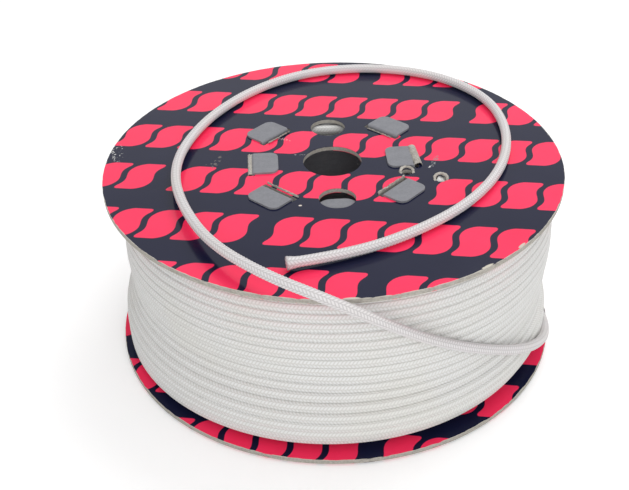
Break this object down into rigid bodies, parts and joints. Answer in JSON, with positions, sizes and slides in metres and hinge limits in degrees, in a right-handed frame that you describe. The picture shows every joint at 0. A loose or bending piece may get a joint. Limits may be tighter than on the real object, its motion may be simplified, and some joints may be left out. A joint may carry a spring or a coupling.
{
  "type": "cord reel",
  "caption": "Board reel wound full of white braided cord: two slotted round flanges on a folded eight-sided core, with the free cord end laid over the top.",
  "frame": {"origin": "under the middle of the reel, on the surface that its folded tabs stand on", "axes": "+Z along the arbor, up; +Y towards the far drive hole; +X towards the side where the free cord leaves the winding"},
  "size_m": [0.28, 0.291, 0.1328],
  "materials": {
    "grey_board": "matte grey solid board",
    "printed_liner": "printed paper, satin",
    "cord": "fine braid, soft sheen"
  },
  "bodies": {
    "root": {"upper_flange_board": "grey_board", "upper_flange_outer_liner": "printed_liner", "upper_flange_inner_liner": "printed_liner", "lower_flange_board": "grey_board", "lower_flange_outer_liner": "printed_liner", "lower_flange_inner_liner": "printed_liner", "core_board": "grey_board", "rope_inner_layers": "cord", "rope_outer_layer": "cord", "rope_free_end": "cord"}
  },
  "joints": []
}
